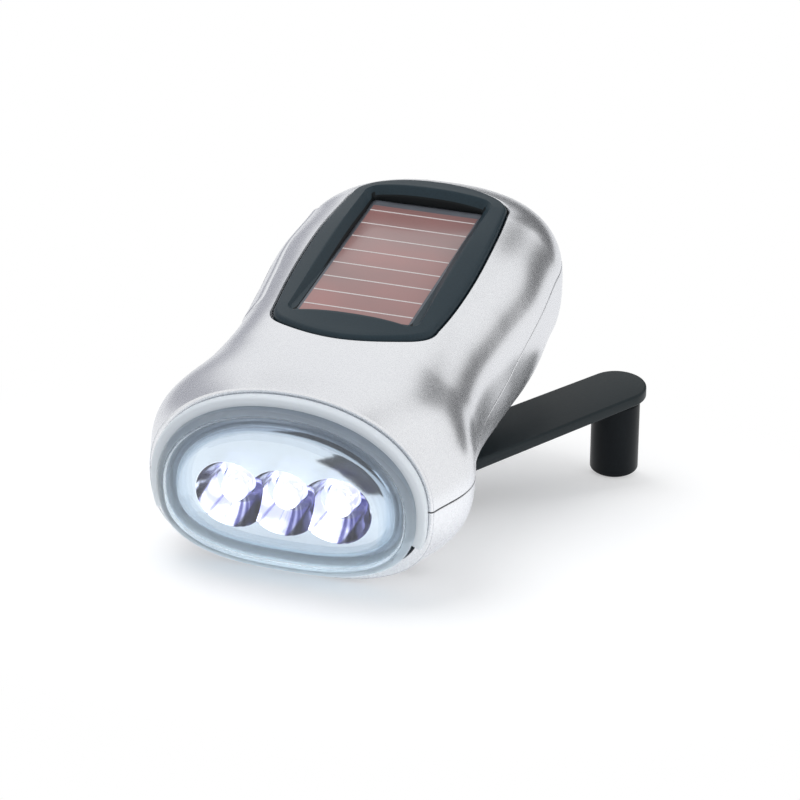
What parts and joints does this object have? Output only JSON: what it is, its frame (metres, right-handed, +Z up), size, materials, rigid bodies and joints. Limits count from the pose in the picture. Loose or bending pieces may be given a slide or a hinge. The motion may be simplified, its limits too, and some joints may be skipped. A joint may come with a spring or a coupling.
{
  "type": "hand crank flashlight",
  "caption": "Rounded hand cranked light with a clear domed lens, a framed solar window on top, a side switch bar and a folding crank arm with a knob underneath.",
  "frame": {"origin": "on the flat underside face of the round collar round the crank hub, on its front stretch, 14 mm in front of the crank's axis and on the body's middle plane", "axes": "+Z up from the underside to the solar window, +Y from the lens to the tail, +X to the flank without the switch bar, so the lens looks along -Y"},
  "size_m": [0.0699, 0.1131, 0.0565],
  "materials": {
    "silver_shell": "metallic silver paint on moulded ABS",
    "dark_plastic": "dark slate moulded ABS, fine satin",
    "black_plastic": "black moulded plastic, satin",
    "solar_cell": "amorphous cell strips under a clear resin face",
    "clear_plastic": "clear polished polycarbonate",
    "plated_reflector": "vacuum plated mirror on moulded plastic",
    "circuit_board": "green fibreglass board",
    "led_resin": "clear resin lamp",
    "white_nylon": "natural white nylon",
    "battery_film": "blue shrink film",
    "steel": "plain plated steel",
    "copper_winding": "enamelled copper wire",
    "magnet": "dark ring magnet"
  },
  "bodies": {
    "housing": {"upper_shell": "silver_shell", "lower_shell": "silver_shell", "solar_frame": "dark_plastic", "solar_panel": "solar_cell", "lens_cover": "clear_plastic", "reflector": "plated_reflector", "led_board": "circuit_board", "led_1": "led_resin", "led_2": "led_resin", "led_3": "led_resin", "push_switch": "black_plastic", "main_board": "circuit_board", "battery_cell_1": "steel", "battery_cell_2": "steel", "battery_cell_3": "steel", "battery_sleeve": "battery_film", "gear_plate": "black_plastic", "idler_axle_1": "steel", "idler_axle_2": "steel", "generator_case": "steel", "generator_coil": "copper_winding", "case_screw_1": "steel", "case_screw_2": "steel", "case_screw_3": "steel", "plate_screw_1": "steel", "plate_screw_2": "steel", "plate_screw_3": "steel", "plate_screw_4": "steel"},
    "crank": {"crank_hub": "dark_plastic", "drive_gear": "white_nylon", "retaining_clip": "steel", "hinge_pin": "steel"},
    "arm": {"crank_arm": "dark_plastic"},
    "knob": {"crank_knob": "black_plastic"},
    "idler_1": {"idler_gear_1": "white_nylon"},
    "idler_2": {"idler_gear_2": "white_nylon"},
    "rotor": {"rotor_magnet": "magnet", "rotor_shaft": "steel", "rotor_pinion": "white_nylon"},
    "button": {"side_button": "silver_shell", "switch_plunger": "white_nylon"}
  },
  "joints": [
    {"name": "crank_turn", "type": "hinge", "parent": "housing", "child": "crank", "pos_m": [0, 0.014, 0], "axis": [0, 0, 1], "continuous": true},
    {"name": "arm_fold", "type": "hinge", "parent": "crank", "child": "arm", "pos_m": [0.00287, 0.01809, 0], "axis": [-0.8181, 0.575, 0], "range_deg": [0, 150]},
    {"name": "knob_spin", "type": "hinge", "parent": "arm", "child": "knob", "pos_m": [0.03571, 0.06481, -0.01], "axis": [0, 0, 1], "continuous": true},
    {"name": "idler_1_spin", "type": "hinge", "parent": "housing", "child": "idler_1", "pos_m": [0, 0.0356, 0.013], "axis": [0, 0, 1], "continuous": true},
    {"name": "idler_2_spin", "type": "hinge", "parent": "housing", "child": "idler_2", "pos_m": [0.01247, 0.0428, 0.013], "axis": [0, 0, 1], "continuous": true},
    {"name": "rotor_spin", "type": "hinge", "parent": "housing", "child": "rotor", "pos_m": [0.00115, 0.0448, 0.02], "axis": [0, 0, 1], "continuous": true},
    {"name": "button_press", "type": "slide", "parent": "housing", "child": "button", "axis": [1, 0, 0], "range_m": [0, 0.0008], "stiffness_N_per_m": 1500, "springref_m": -0.0004}
  ],
  "couplings": [
    {"joint": "idler_1_spin", "follows": "crank_turn", "ratio": -3},
    {"joint": "idler_2_spin", "follows": "crank_turn", "ratio": 9},
    {"joint": "rotor_spin", "follows": "crank_turn", "ratio": -25.5}
  ]
}
